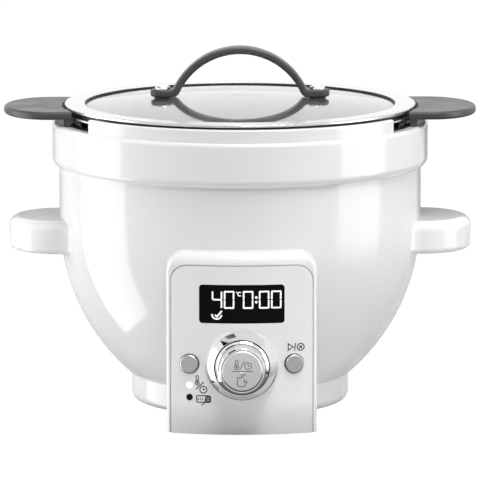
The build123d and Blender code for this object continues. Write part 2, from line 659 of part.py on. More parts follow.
for x, y in terminal_places:
    liner -= upright(ELEMENT_R + 1, LINER_LOW_Z - OVERCUT, LINER_FLOOR_Z + OVERCUT, x, y)
heater_posts = [upright(POST_R, LINER_FLOOR_Z, PLATE_LOW_Z, x, y) for x, y in around(3, POST_RING_R, 60)]
fuse = Pos(0, FUSE_Y, PLATE_LOW_Z - FUSE_R) * Rot(0, 90, 0) * Cylinder(FUSE_R, FUSE_L)
pieces["heater_liner"] = liner
pieces["heater_plate"] = heater_plate
pieces["heating_element"] = element
pieces["heater_posts"] = Compound(heater_posts)
pieces["thermal_fuse"] = fuse

# Temperature probe with its guide and spring
guide_top_z = LINER_FLOOR_Z + GUIDE_T
probe_low_z = BOWL_LOW_Z - PROBE_H
stem_low_z = LINER_LOW_Z - GUIDE_TUBE_L - PROBE_TRAVEL
guide_low_z = LINER_LOW_Z - GUIDE_TUBE_L
probe = upright(PROBE_R, probe_low_z, BOWL_LOW_Z) + upright(PROBE_STEM_R, stem_low_z, probe_low_z)
probe += upright(PROBE_STEM_R + 1.5, stem_low_z, guide_low_z - MOVE_GAP)
guide = upright(GUIDE_R, LINER_FLOOR_Z, guide_top_z) + upright(GUIDE_TUBE_R, guide_low_z, guide_top_z)
guide -= upright(PROBE_STEM_R + SHAFT_GAP, guide_low_z - OVERCUT, guide_top_z + OVERCUT)
spring_in_r = PROBE_STEM_R + MOVE_GAP
pieces["sensor_probe"] = probe
pieces["sensor_guide"] = guide
pieces["sensor_spring"] = tube(spring_in_r, spring_in_r + SPRING_T, guide_top_z, probe_low_z)

# Power board with its components, screws and leads
power_board = block(-POWER_BOARD_X, POWER_BOARD_X, -POWER_BOARD_Y, POWER_BOARD_Y, POWER_BOARD_Z, POWER_TOP_Z)
power_screws = []
for x, y in post_places:
    power_board -= upright(BOARD_SCREW_R + SCREW_GAP, POWER_BOARD_Z - OVERCUT, POWER_TOP_Z + OVERCUT, x, y)
    power_screws.append(upright(BOARD_SCREW_R, DECK_Z + 0.5, POWER_TOP_Z, x, y)
                        + upright(BOARD_SCREW_HEAD_R, POWER_TOP_Z, POWER_TOP_Z + SCREW_HEAD_H, x, y))
terminal_half_w = PIN_PITCH / 2 + 2.5 * LEAD_R
terminal_y = POWER_BOARD_Y - 2 * LEAD_R
terminal_top_z = INLET_Z + PIN_H + LEAD_R + OVERCUT
transformer = on_power_board(TRANSFORMER, -POWER_BOARD_X / 2, 0)
relay = on_power_board(RELAY, POWER_BOARD_X / 2, POWER_BOARD_Y / 2)
capacitor = upright(CAPACITOR_R, POWER_TOP_Z, POWER_TOP_Z + CAPACITOR_H,
                    POWER_BOARD_X / 2, -POWER_BOARD_Y / 2)
heat_sink = on_power_board(HEAT_SINK, -POWER_BOARD_X / 2, -POWER_BOARD_Y * 2 / 3)
terminal_block = block(-terminal_half_w, terminal_half_w, terminal_y - TERMINAL_D, terminal_y,
                       POWER_TOP_Z, terminal_top_z)
pieces["power_board"] = power_board
pieces["power_board_screws"] = Compound(power_screws)
pieces["power_components"] = Compound([transformer, relay, capacitor, heat_sink, terminal_block])
pieces["heater_leads"] = Compound(
    [upright(LEAD_R, POWER_TOP_Z, terminal_low_z, x, y) for x, y in terminal_places])

# Power inlet: socket, contact pins, white surround and the leads to the terminal block
inlet_face_y = shell_radius(INLET_Z) + INLET_PROUD
inlet_back_y = inlet_face_y - INLET_DEPTH - INLET_WALL
pin_places = [(-PIN_PITCH / 2, INLET_Z - PIN_DROP), (PIN_PITCH / 2, INLET_Z - PIN_DROP),
              (0, INLET_Z + PIN_DROP)]
tail_y = inlet_back_y - PIN_TAIL
socket = block(-INLET_OUT_W / 2, INLET_OUT_W / 2, inlet_back_y, inlet_face_y,
               INLET_Z - INLET_OUT_H / 2, INLET_Z + INLET_OUT_H / 2)
socket += block(-INLET_OUT_W / 2 - INLET_FLANGE, INLET_OUT_W / 2 + INLET_FLANGE,
                inlet_face_y - INLET_FLANGE_T, inlet_face_y,
                INLET_Z - INLET_OUT_H / 2 - INLET_FLANGE, INLET_Z + INLET_OUT_H / 2 + INLET_FLANGE)
socket -= block(-INLET_W / 2, INLET_W / 2, inlet_face_y - INLET_DEPTH, inlet_face_y + OVERCUT,
                INLET_Z - INLET_H / 2, INLET_Z + INLET_H / 2)
pins = []
mains_leads = []
for x, z in pin_places:
    pin = block(x - PIN_W / 2, x + PIN_W / 2, tail_y, inlet_face_y - 2, z - PIN_H / 2, z + PIN_H / 2)
    socket -= pin
    pins.append(pin)
    mains_leads.append(Pos(x, tail_y, z) * Rot(90, 0, 0) * upright(LEAD_R, 0, tail_y - terminal_y))
surround = block(-SURROUND_HALF_W, SURROUND_HALF_W, SOCKET_R, inlet_face_y - INLET_FLANGE_T,
                 INLET_Z - SURROUND_HALF_H, INLET_Z + SURROUND_HALF_H)
surround = fillet(surround.edges().filter_by(Axis.Y), SURROUND_ROUND)
surround = fillet(surround.faces().sort_by(Axis.Y)[-1].edges(), SURROUND_ROUND / 2)
surround -= block(-INLET_OUT_W / 2, INLET_OUT_W / 2, 0, inlet_face_y,
                  INLET_Z - INLET_OUT_H / 2, INLET_Z + INLET_OUT_H / 2)
surround -= full_form + upright(FOOT_R, FOOT_LOW_Z, SHELL_LOW_Z + 4 * BASE_T)
pieces["inlet_socket"] = socket
pieces["inlet_pins"] = Compound(pins)
pieces["inlet_surround"] = surround
pieces["mains_leads"] = Compound(mains_leads)

# Panel housing with its fascia ledge and screw bosses
front_skin = front_form(FASCIA_T)
housing = front_prism(PANEL_HALF_W, PANEL_LOW_Z, PANEL_TOP_Z, PANEL_CORNER_R) & front_form(FRAME_SETBACK)
front_edges = []
for edge in housing.edges():
    middle = edge.center()
    wide = abs(middle.X) > PANEL_HALF_W - PANEL_CORNER_R
    if middle.Y < -SHELL_R and middle.Z > PANEL_LOW_Z + OVERCUT:
        if wide or middle.Z > PANEL_TOP_Z - OVERCUT:
            front_edges.append(edge)
housing = fillet(front_edges, PANEL_EDGE_ROUND) & rounded_top()
recess = front_prism(FASCIA_HALF_W + FASCIA_GAP, PANEL_LOW_Z - OVERCUT, FASCIA_TOP_Z + FASCIA_GAP,
                     FASCIA_CORNER_R + FASCIA_GAP)
inner_w = PANEL_HALF_W - PANEL_WALL
inner_low = PANEL_LOW_Z + PANEL_WALL
hollow = front_prism(inner_w, inner_low, FASCIA_TOP_Z + FASCIA_GAP, FASCIA_CORNER_R)
hollow &= front_form(FASCIA_T + LEDGE_T)
mouth = front_prism(FASCIA_HALF_W - LEDGE_W, inner_low, FASCIA_TOP_Z - LEDGE_W, FASCIA_CORNER_R - LEDGE_W)
housing = housing - (recess - front_skin) - hollow - mouth
for height in HOUSING_SCREW_Z:
    right = housing_screw_angle(height)
    for angle in (right, -180 - right):
        housing += outward(angle, 0, height) * upright(
            HOUSING_BOSS_R, shell_radius(height) - HOUSING_BOSS_R, shell_radius(height) + HOUSING_BOSS_L)
housing -= full_form + upright(FOOT_R, 0, SHELL_LOW_Z + 4 * BASE_T)
for height in HOUSING_SCREW_Z:
    right = housing_screw_angle(height)
    for angle in (right, -180 - right):
        housing -= outward(angle, 0, height) * upright(SCREW_R, 0, shell_radius(height) + screw_reach())
pieces["panel_housing"] = housing

# Fascia with its openings and the posts that carry the control board
knob_place = facing(0, KNOB_Z)
left_button_place = facing(-BUTTON_ANGLE, BUTTON_Z)
right_button_place = facing(BUTTON_ANGLE, BUTTON_Z)
light_places = [facing(-BUTTON_ANGLE, z) for z in LIGHT_Z]
fascia = front_prism(FASCIA_HALF_W, PANEL_LOW_Z, FASCIA_TOP_Z, FASCIA_CORNER_R)
fascia &= front_form(0) - front_skin
board_post_places = [(x, z) for x in (-BOARD_POST_X, BOARD_POST_X) for z in BOARD_POST_Z]
for x, z in board_post_places:
    post = Pos(x, BOARD_Y, z) * Rot(90, 0, 0) * upright(BOARD_POST_R, 0, PANEL_R)
    fascia += post & front_skin
    fascia -= Pos(x, BOARD_Y, z) * Rot(90, 0, 0) * upright(BOARD_SCREW_R, -OVERCUT, FASCIA_T)
fascia -= window_form(0)
fascia -= knob_place * upright(DIAL_R + DIAL_GAP + FASCIA_T, -PANEL_R / 4, PANEL_R)
for place in (left_button_place, right_button_place):
    fascia -= place * upright(BUTTON_R + BUTTON_GAP, -2 * FASCIA_T, PANEL_R)
for place in light_places:
    fascia -= place * upright(LIGHT_R, -2 * FASCIA_T, PANEL_R)
pieces["control_fascia"] = fascia

# Display window with a glued flange behind the fascia, and the display module
flange_back_r = FASCIA_BACK_R - DISPLAY_FLANGE_T
window = window_form(0) & (front_form(0) - front_form(FASCIA_T + DISPLAY_FLANGE_T))
window += window_form(DISPLAY_FLANGE) & (front_skin - front_form(FASCIA_T + DISPLAY_FLANGE_T))
module_half_w = DISPLAY_W / 2 - 2
module_face_y = -math.sqrt(flange_back_r**2 - module_half_w**2)
pieces["display_window"] = window
pieces["display_module"] = block(-module_half_w, module_half_w, module_face_y, BOARD_Y,
                                 DISPLAY_Z - DISPLAY_H / 2 + 1, DISPLAY_Z + DISPLAY_H / 2 - 1)

# Control board and its screws
board_back_y = BOARD_Y + BOARD_T
control_board = block(-BOARD_HALF_W, BOARD_HALF_W, BOARD_Y, board_back_y, BOARD_LOW_Z, BOARD_TOP_Z)
board_screws = []
for x, z in board_post_places:
    behind = Pos(x, board_back_y, z) * Rot(90, 0, 0)
    control_board -= behind * upright(BOARD_SCREW_R + SCREW_GAP, -OVERCUT, BOARD_T + OVERCUT)
    board_screws.append(behind * (upright(BOARD_SCREW_R, 0, BOARD_T + FASCIA_T - 0.2)
                                  + upright(BOARD_SCREW_HEAD_R, -SCREW_HEAD_H, 0)))
pieces["control_board"] = control_board
pieces["board_screws"] = Compound(board_screws)

# Dial: fixed bezel, turning ring, encoder and the push cap in the middle
bezel_in_r = DIAL_R + DIAL_GAP
sleeve_r = bezel_in_r + FASCIA_T
bezel = turned((bezel_in_r, -FASCIA_T - 1), (sleeve_r, -FASCIA_T - 1), (sleeve_r, -5), (BEZEL_R, -5),
               (BEZEL_R, 0.8), (RING_R, 1.6), (RING_R, RING_RISE), (RING_TOP_R, RING_H),
               (bezel_in_r, RING_H))
panel_solid = upright(PANEL_R, 0, PANEL_TOP_Z) - knob_place * upright(sleeve_r, -PANEL_R / 2, OVERCUT)
pieces["knob_bezel"] = knob_place * bezel - panel_solid
dial = turned((ROTOR_R, DIAL_WEB_H - 6), (ROTOR_R + 3, DIAL_WEB_H - 6), (ROTOR_R + 3, DIAL_WEB_H),
              (DIAL_R - 2, DIAL_WEB_H), (DIAL_R - 2, -DIAL_DEPTH), (DIAL_R, -DIAL_DEPTH),
              (DIAL_R, DIAL_SHOULDER), (DIAL_R - 1.2, DIAL_SHOULDER + 1), (DIAL_TOP_R, DIAL_H - 1),
              (DIAL_TOP_R - 0.6, DIAL_H), (CAP_R + MOVE_GAP, DIAL_H),
              (CAP_R + MOVE_GAP, DIAL_WEB_H + DIAL_WEB_T), (ROTOR_R, DIAL_WEB_H + DIAL_WEB_T))
pieces["dial_ring"] = knob_place * dial
encoder_face = ENCODER_H - BOARD_DEPTH
rotor_low = encoder_face + SLIP_GAP
stem_hole_r = CAP_STEM_R + SHAFT_GAP
rotor = turned((stem_hole_r, rotor_low), (ROTOR_R + 2, rotor_low), (ROTOR_R + 2, rotor_low + 1),
               (ROTOR_R, rotor_low + 1), (ROTOR_R, DIAL_WEB_H + DIAL_WEB_T),
               (stem_hole_r, DIAL_WEB_H + DIAL_WEB_T))
pieces["encoder_rotor"] = knob_place * rotor
half_e = ENCODER_W / 2
pieces["encoder_body"] = block(-half_e, half_e, BOARD_Y - ENCODER_H, BOARD_Y,
                               KNOB_Z - half_e, KNOB_Z + half_e)
cap = turned((0, rotor_low + CAP_TRAVEL), (CAP_STEM_R, rotor_low + CAP_TRAVEL),
             (CAP_STEM_R, DIAL_H - CAP_T), (CAP_R, DIAL_H - CAP_T), (CAP_R, DIAL_H),
             (CAP_R - 0.8, DIAL_H + 0.6), (0, DIAL_H + 0.9))
pieces["dial_button"] = knob_place * cap

# Side buttons with their switches, and the two indicator lights
button_stem_low = SWITCH_TOP + BUTTON_TRAVEL + MOVE_GAP
button = turned((0, button_stem_low), (BUTTON_STEM_R, button_stem_low),
                (BUTTON_STEM_R, -BUTTON_SEAT - BUTTON_FLANGE_T),
                (BUTTON_FLANGE_R, -BUTTON_SEAT - BUTTON_FLANGE_T), (BUTTON_FLANGE_R, -BUTTON_SEAT),
                (BUTTON_R, -BUTTON_SEAT), (BUTTON_R, BUTTON_RISE - 0.6), (BUTTON_R - 0.6, BUTTON_RISE),
                (0, BUTTON_RISE))
pieces["left_button"] = left_button_place * button
pieces["right_button"] = right_button_place * button
board_front = block(-PANEL_R, PANEL_R, -PANEL_R, BOARD_Y, 0, PANEL_TOP_Z)
switch = upright(SWITCH_R, SWITCH_TOP - 3 * SWITCH_RISE, SWITCH_TOP)
pieces["tact_switches"] = Compound(
    [place * switch & board_front for place in (left_button_place, right_button_place)])
light = upright(LIGHT_R, -BOARD_DEPTH - 2, 0.3)
pieces["indicator_upper"] = light_places[0] * light & board_front
pieces["indicator_lower"] = light_places[1] * light & board_front

# Ribbon cable from the control board to the power board
ribbon_path = FilletPolyline((board_back_y, RIBBON_Z), (RIBBON_END_Y, RIBBON_Z),
                             (RIBBON_END_Y, POWER_TOP_Z), radius=RIBBON_BEND_R)
ribbon_face = Plane.YZ * trace(ribbon_path, RIBBON_T)
pieces["control_ribbon"] = Pos(-RIBBON_W / 2, 0, 0) * extrude(ribbon_face, RIBBON_W)

# Lid: glass dome, steel ring, seal and glazing bead
glass = upright(GLASS_R, RING_UNDER_Z - 2 * GLASS_T, DOME_TOP_Z + OVERCUT) & dome_ball(0)
glass -= dome_ball(GLASS_T)
lid_screw_places = ((-LID_SCREW_X, 0), (LID_SCREW_X, 0))
for x, y in lid_screw_places:
    glass -= upright(LID_SCREW_R + SCREW_GAP, RING_UNDER_Z - GLASS_T, DOME_TOP_Z + OVERCUT, x, y)
ring = tube(LID_RING_IN_R, LID_R, RING_UNDER_Z, LID_TOP_Z)
ring += tube(LID_R - LID_HEM_W, LID_R, LID_TOP_Z - LID_HEM_H, LID_TOP_Z)
circles = ring.edges().filter_by(GeomType.CIRCLE)
ring = fillet([edge for edge in circles if edge.radius > LID_R - OVERCUT], LID_RING_ROUND)
bead_top_z = LID_TOP_Z - 0.2
bead = tube(LID_RING_IN_R - BEAD_T, LID_RING_IN_R, RING_UNDER_Z - OVERCUT, bead_top_z) - dome_ball(0)
pieces["lid_glass"] = glass
pieces["lid_ring"] = ring
pieces["lid_seal"] = tube(GLASS_R, SEAL_R, BOWL_RIM_Z, RING_UNDER_Z)
pieces["lid_bead"] = bead

# Lid handle with its screws, spacers, washers and nuts
arch = Pos(0, ARCH_CENTRE_Z) * (Circle(ARCH_R) - Circle(ARCH_R - STRAP_T))
toe_x = math.sqrt((ARCH_R - STRAP_T) ** 2 - (TOE_LOW_Z - ARCH_CENTRE_Z) ** 2)
toe_mid_x = (toe_x + TOE_TIP_X) / 2
toes = Pos(toe_mid_x, TOE_LOW_Z + TOE_T / 2) * Rectangle(TOE_TIP_X - toe_x, TOE_T)
toes += Pos(-toe_mid_x, TOE_LOW_Z + TOE_T / 2) * Rectangle(TOE_TIP_X - toe_x, TOE_T)
above_toes = Pos(0, TOE_LOW_Z + ARCH_R) * Rectangle(2 * TOE_TIP_X, 2 * ARCH_R)
side_view = (arch & above_toes) + toes
corner_x = math.sqrt(ARCH_R**2 - (TOE_TOP_Z - ARCH_CENTRE_Z) ** 2)
for x, z, radius in ((corner_x, TOE_TOP_Z, TOE_BLEND), (toe_x, TOE_LOW_Z, HEEL_ROUND)):
    corners = [point for point in side_view.vertices()
               if abs(point.Y - z) < 0.01 and abs(abs(point.X) - x) < 0.01]
    side_view = fillet(corners, radius)
handle = Pos(0, STRAP_W / 2, 0) * extrude(Plane.XZ * side_view, STRAP_W)
handle &= Pos(0, 0, TOE_LOW_Z - OVERCUT) * extrude(SlotOverall(2 * TOE_TIP_X, STRAP_W), 2 * ARCH_R)
rims = handle.edges() - handle.edges().filter_by(Axis.Y) - handle.edges().filter_by(Axis.Z)
handle = fillet(rims, STRAP_ROUND)
lid_screws = []
lid_spacers = []
lid_washers = []
lid_nuts = []
for x, y in lid_screw_places:
    hole = upright(LID_SCREW_R + SCREW_GAP, RING_UNDER_Z - GLASS_T, TOE_TOP_Z + OVERCUT, x, y)
    handle -= hole
    under_z = GLASS_AT_SCREW_Z - GLASS_T - WASHER_H
    nut = extrude(Pos(x, y) * RegularPolygon(NUT_R, 6), NUT_H)
    nut = Pos(0, 0, under_z - NUT_H) * nut
    head = upright(LID_SCREW_HEAD_R, TOE_TOP_Z, TOE_TOP_Z + LID_SCREW_HEAD_H, x, y)
    head = fillet(head.edges().group_by(Axis.Z)[-1], LID_SCREW_HEAD_H * 0.8)
    lid_screws.append(head + upright(LID_SCREW_R, under_z - NUT_H, TOE_TOP_Z, x, y))
    lid_spacers.append(upright(SPACER_R, RING_UNDER_Z, TOE_LOW_Z, x, y) - dome_ball(0) - hole)
    washer = upright(SPACER_R, under_z, DOME_TOP_Z, x, y) & dome_ball(GLASS_T)
    lid_washers.append(washer - hole)
    lid_nuts.append(nut - upright(LID_SCREW_R, under_z - NUT_H - OVERCUT, under_z + OVERCUT, x, y))
pieces["lid_handle"] = handle
pieces["lid_handle_screws"] = Compound(lid_screws)
pieces["lid_handle_spacers"] = Compound(lid_spacers)
pieces["lid_handle_washers"] = Compound(lid_washers)
pieces["lid_handle_nuts"] = Compound(lid_nuts)

for name, piece in pieces.items():
    export_step(piece, f"parts/{name}.step")
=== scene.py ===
"""Looks of the heated mixing bowl: materials, printed signs, stage, light and camera.

Drawings are in millimetres and MM turns them into metres. Materials and the stage are in metres.
The bowl's axis is Z and the panel faces -Y.
"""

import math

import bmesh
import bpy
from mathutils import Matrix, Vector


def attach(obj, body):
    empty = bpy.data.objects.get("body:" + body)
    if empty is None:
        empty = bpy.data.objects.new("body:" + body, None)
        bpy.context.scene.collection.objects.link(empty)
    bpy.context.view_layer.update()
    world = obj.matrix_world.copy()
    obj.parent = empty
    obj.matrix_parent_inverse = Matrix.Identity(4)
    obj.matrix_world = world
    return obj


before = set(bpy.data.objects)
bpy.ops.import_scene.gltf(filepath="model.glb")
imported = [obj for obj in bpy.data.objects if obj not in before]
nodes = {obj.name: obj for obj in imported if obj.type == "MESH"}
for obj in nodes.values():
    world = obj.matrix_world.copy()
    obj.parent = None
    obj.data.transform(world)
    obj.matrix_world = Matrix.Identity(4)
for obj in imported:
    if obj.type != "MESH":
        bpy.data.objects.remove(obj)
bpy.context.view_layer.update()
scene = bpy.context.scene

MM = 0.001

# Faces of the part that carry prints, in millimetres
PANEL_R = 150.5           # radius of the panel's front face about the bowl's axis
KNOB_Z = 52.3             # height of the dial's axis
CAP_TIP_Y = -178.4        # middle of the push cap's front, which is a very flat cone
CAP_CONE_R = 13.5         # outer radius of that cone
CAP_CONE_H = 0.3          # how far the cone's outer edge lies behind its middle
DISPLAY = (-30.15, 30.15, 81.65, 109.15)   # left, right, low and top edge of the display window

# Prints, in millimetres
PRINT_RISE = 0.06         # how far a print stands off the face that carries it
PRINT_T = 0.05            # thickness of a print
PRINT_STEP = 1.5          # longest straight run of a print, so that it follows a curved face
MITRE_LIMIT = 0.35        # least cosine used at a stroke's corner, so that sharp corners stay short
CORNER_STEP = 15          # degrees between the points of a rounded corner

# Materials
NOISE_LOW = 0.3           # most of a noise lies between these two
NOISE_HIGH = 0.7
CLOUD_SCALE = 14.0        # clouds of tone in plastic
GLOSS_SCALE = 45.0        # patches of uneven gloss in plastic
MOULDED_DEPTH = 0.0002    # depth of a moulded grain, in metres
METAL_DEPTH = 0.00005     # depth of the grain of metal and paint, in metres
RING_SCALE = 2600.0       # turned rings: scale across the rings
RING_TURN = 3.0           # and along them
BLASTED = (1300.0, 1300.0, 1300.0)         # scale of an even grain
BRASS_LINES = (500.0, 2500.0, 500.0)       # scale of drawn lines
BOWL_AXIS = ((0, 0, 0), "Z")
DIAL_AXIS = ((0, -PANEL_R * MM, KNOB_Z * MM), "Y")

# Stage, in metres
PART_MIDDLE = (0, 0, 0.15)
SHEET_HALF = 0.5          # half the side of a sheet before it is scaled
FLOOR_SIZE = 40.0
FLOOR_Z = -0.0002         # a hair below the part's lowest face
FLOOR_GREY = (0.76, 0.76, 0.76, 1)
FLOOR_LEVEL = 1.12        # glow of the floor where it is seen
FLOOR_SHARE = 0.88        # share of that glow, the rest being lit paint
AIR_CAST = 0.14           # light that the world casts
AIR_LOW = 0.2             # its level far below the horizon, where it is seen
AIR_LOW_Z = -0.55         # downward part of a direction at which that level is reached
LENS = 415.8              # in millimetres
SENSOR_W = 36.0           # in millimetres
CAMERA_AT = (-0.035, -4.0, 0.735)
CAMERA_AIM = (0, 0, 0.118)
CLIP_START = 0.1
CLIP_END = 50.0


# Nodes and objects

def feed(tree, value, socket):
    """Links an output to a socket, or sets the socket to a constant."""
    if isinstance(value, bpy.types.NodeSocket):
        tree.links.new(value, socket)
    else:
        socket.default_value = value


def add_node(tree, kind, **inputs):
    """A node in a tree with some of its inputs linked or set."""
    node = tree.nodes.new(kind)
    for name, value in inputs.items():
        feed(tree, value, node.inputs[name.replace("_", " ")])
    return node


def calculate(tree, operation, first, second):
    """The result of an operation on two values."""
    node = tree.nodes.new("ShaderNodeMath")
    node.operation = operation
    feed(tree, first, node.inputs[0])
    feed(tree, second, node.inputs[1])
    return node.outputs[0]


def add_object(name, data):
    """A new object in the scene."""
    obj = bpy.data.objects.new(name, data)
    scene.collection.objects.link(obj)
    return obj


def mesh_object(name, mesh, material):
    """An object made from a bmesh, which is freed."""
    data = bpy.data.meshes.new(name)
    mesh.to_mesh(data)
    mesh.free()
    data.materials.append(material)
    return add_object(name, data)


def aim_at(obj, target):
    """Turns a lamp or the camera towards a place."""
    aim = Vector(target) - obj.location
    obj.rotation_euler = aim.to_track_quat("-Z", "Y").to_euler()


# Material building blocks

def shader_of(tree):
    """The Principled shader in a material's tree."""
    return tree.nodes["Principled BSDF"]


def new_material(name, colour, roughness, metallic=0.0, **sockets):
    """A material with a Principled shader whose plain values are set on its own sockets."""
    material = bpy.data.materials.new(name)
    material.use_nodes = True
    shader = shader_of(material.node_tree)
    shader.inputs["Base Color"].default_value = (*colour, 1.0)
    shader.inputs["Roughness"].default_value = roughness
    shader.inputs["Metallic"].default_value = metallic
    for socket, value in sockets.items():
        shader.inputs[socket.replace("_", " ")].default_value = value
    return material


def place(tree, stretch=(1.0, 1.0, 1.0)):
    """The point on the part, in metres, stretched along the axes."""
    point = add_node(tree, "ShaderNodeTexCoord").outputs["Object"]
    return add_node(tree, "ShaderNodeMapping", Vector=point, Scale=stretch).outputs["Vector"]


def polar_place(tree, centre, axis):
    """A point in rings about an axis: fine across the rings and slow along them."""
    point = add_node(tree, "ShaderNodeTexCoord").outputs["Object"]
    shift = add_node(tree, "ShaderNodeVectorMath", Vector=point)
    shift.operation = "SUBTRACT"
    shift.inputs[1].default_value = centre
    split = add_node(tree, "ShaderNodeSeparateXYZ", Vector=shift.outputs[0])
    first, second = [split.outputs[letter] for letter in "XYZ" if letter != axis]
    flat = add_node(tree, "ShaderNodeCombineXYZ", X=first, Y=second)
    length = add_node(tree, "ShaderNodeVectorMath", Vector=flat.outputs[0])
    length.operation = "LENGTH"
    turn = calculate(tree, "ARCTAN2", first, second)
    across = calculate(tree, "MULTIPLY", length.outputs["Value"], RING_SCALE)
    along = calculate(tree, "MULTIPLY", turn, RING_TURN)
    return add_node(tree, "ShaderNodeCombineXYZ", X=across, Y=along).outputs[0]


def noise(tree, point, scale, detail=2.0):
    """Soft noise, most of it between NOISE_LOW and NOISE_HIGH."""
    return add_node(tree, "ShaderNodeTexNoise", Vector=point, Scale=scale, Detail=detail).outputs["Fac"]


def vary(tree, source, socket, low, high):
    """Feeds a shader socket from a noise, between two values."""
    spread = add_node(tree, "ShaderNodeMapRange", Value=source, From_Min=NOISE_LOW, From_Max=NOISE_HIGH,
                      To_Min=low, To_Max=high)
    feed(tree, spread.outputs["Result"], shader_of(tree).inputs[socket])


def tint(tree, source, low, high):
    """Feeds the base colour from a noise, between two colours."""
    ramp = add_node(tree, "ShaderNodeValToRGB", Fac=source)
    first, last = ramp.color_ramp.elements
    first.position = NOISE_LOW
    first.color = (*low, 1.0)
    last.position = NOISE_HIGH
    last.color = (*high, 1.0)
    feed(tree, ramp.outputs["Color"], shader_of(tree).inputs["Base Color"])


def relief(tree, source, strength, depth, edge=0.0):
    """Fine surface relief, over edges that are softened by a small radius."""
    bump = add_node(tree, "ShaderNodeBump", Height=source, Strength=strength, Distance=depth)
    if edge:
        soft = add_node(tree, "ShaderNodeBevel", Radius=edge)
        feed(tree, soft.outputs["Normal"], bump.inputs["Normal"])
    feed(tree, bump.outputs["Normal"], shader_of(tree).inputs["Normal"])


# Kinds of material: each has a colour, a shade of it and a range of roughness

def moulded(name, colour, shade, roughness, grain, strength, edge=0.0, **sockets):
    """Moulded plastic or rubber with slight clouds of tone, uneven gloss and a fine grain."""
    material = new_material(name, colour, sum(roughness) / 2, **sockets)
    tree = material.node_tree
    point = place(tree)
    tint(tree, noise(tree, point, CLOUD_SCALE), shade, colour)
    vary(tree, noise(tree, point, GLOSS_SCALE, detail=3.0), "Roughness", *roughness)
    relief(tree, noise(tree, point, grain, detail=3.0), strength, MOULDED_DEPTH, edge)
    return material


def metal(name, colour, shade, roughness, strength, edge, grain_place):
    """Metal whose tone, gloss and relief follow one noise; grain_place gives the point where it is read."""
    material = new_material(name, colour, sum(roughness) / 2, metallic=1.0)
    tree = material.node_tree
    lines = noise(tree, grain_place(tree), scale=1.0, detail=4.0)
    tint(tree, lines, shade, colour)
    vary(tree, lines, "Roughness", *roughness)
    relief(tree, lines, strength, METAL_DEPTH, edge)
    return material


def brushed(name, colour, shade, roughness, stretch, edge=0.0, strength=0.12):
    """Metal brushed along one direction, or blasted where the stretch is the same all round."""
    return metal(name, colour, shade, roughness, strength, edge, lambda tree: place(tree, stretch))


def turned_metal(name, colour, shade, roughness, centre, axis, edge=0.0, strength=0.10):
    """Metal with fine rings from turning or round brushing about an axis."""
    return metal(name, colour, shade, roughness, strength, edge,
                 lambda tree: polar_place(tree, centre, axis))


def silver_paint(name):
    """Satin paint with a fine fleck and slightly uneven gloss."""
    material = new_material(name, (0.86, 0.865, 0.87), roughness=0.38, metallic=0.20)
    tree = material.node_tree
    point = place(tree)
    fleck = noise(tree, point, scale=2600.0)
    tint(tree, fleck, (0.83, 0.835, 0.84), (0.88, 0.885, 0.89))
    vary(tree, noise(tree, point, scale=60.0, detail=3.0), "Roughness", low=0.34, high=0.42)
    relief(tree, fleck, strength=0.05, depth=METAL_DEPTH, edge=0.0004)
    return material


def clear_glass(name):
    """Clear glass with faint smears and a slightly uneven surface."""
    material = new_material(name, (0.97, 0.985, 0.98), roughness=0.01, Transmission_Weight=0.96, IOR=1.5)
    tree = material.node_tree
    smears = noise(tree, place(tree, stretch=(1.0, 2.2, 1.0)), scale=26.0, detail=5.0)
    vary(tree, smears, "Roughness", low=0.0, high=0.045)
    relief(tree, noise(tree, place(tree), scale=60.0), strength=0.01, depth=0.0001)
    return material


# Materials, one for each slot of the record and a few for the prints and the push buttons
white = moulded("white_gloss", (0.80, 0.805, 0.81), (0.785, 0.79, 0.795), (0.09, 0.14),
                grain=220.0, strength=0.015, Coat_Weight=0.25, Coat_Roughness=0.05)
grip = moulded("dark_grip", (0.055, 0.055, 0.058), (0.040, 0.040, 0.043), (0.34, 0.46),
               grain=1900.0, strength=0.10, edge=0.0005)
rubber = moulded("black_rubber", (0.018, 0.018, 0.019), (0.012, 0.012, 0.013), (0.45, 0.62),
                 grain=1500.0, strength=0.12)
black = moulded("black_plastic", (0.022, 0.022, 0.024), (0.015, 0.015, 0.016), (0.38, 0.50),
                grain=1300.0, strength=0.10)
cable = moulded("cable_grey", (0.36, 0.36, 0.37), (0.30, 0.30, 0.31), (0.45, 0.60),
                grain=900.0, strength=0.10)
lens = moulded("light_lens", (0.92, 0.94, 0.96), (0.88, 0.90, 0.93), (0.18, 0.30),
               grain=700.0, strength=0.05, Emission_Color=(0.95, 0.98, 1.0, 1.0), Emission_Strength=0.45)
dark_lens = moulded("dark_lens", (0.012, 0.012, 0.014), (0.008, 0.008, 0.009), (0.10, 0.18),
                    grain=700.0, strength=0.04, Specular_IOR_Level=0.06)
screen = moulded("display_glass", (0.0035, 0.0035, 0.004), (0.0025, 0.0025, 0.003), (0.05, 0.09),
                 grain=300.0, strength=0.01, Specular_IOR_Level=0.05)
ink = moulded("sign_ink", (0.035, 0.035, 0.038), (0.025, 0.025, 0.027), (0.42, 0.55),
              grain=1500.0, strength=0.06)
etched = moulded("etched_sign", (0.09, 0.09, 0.095), (0.07, 0.07, 0.075), (0.40, 0.52),
                 grain=1500.0, strength=0.06)
pale_ink = moulded("white_line", (0.86, 0.86, 0.87), (0.83, 0.83, 0.84), (0.30, 0.42),
                   grain=1200.0, strength=0.05)
glow = moulded("display_glow", (0.90, 0.92, 0.96), (0.84, 0.86, 0.92), (0.30, 0.40),
               grain=900.0, strength=0.05, Emission_Color=(0.96, 0.96, 1.0, 1.0), Emission_Strength=0.45)
board = moulded("board_green", (0.030, 0.140, 0.070), (0.020, 0.105, 0.050), (0.35, 0.48),
                grain=1200.0, strength=0.15)
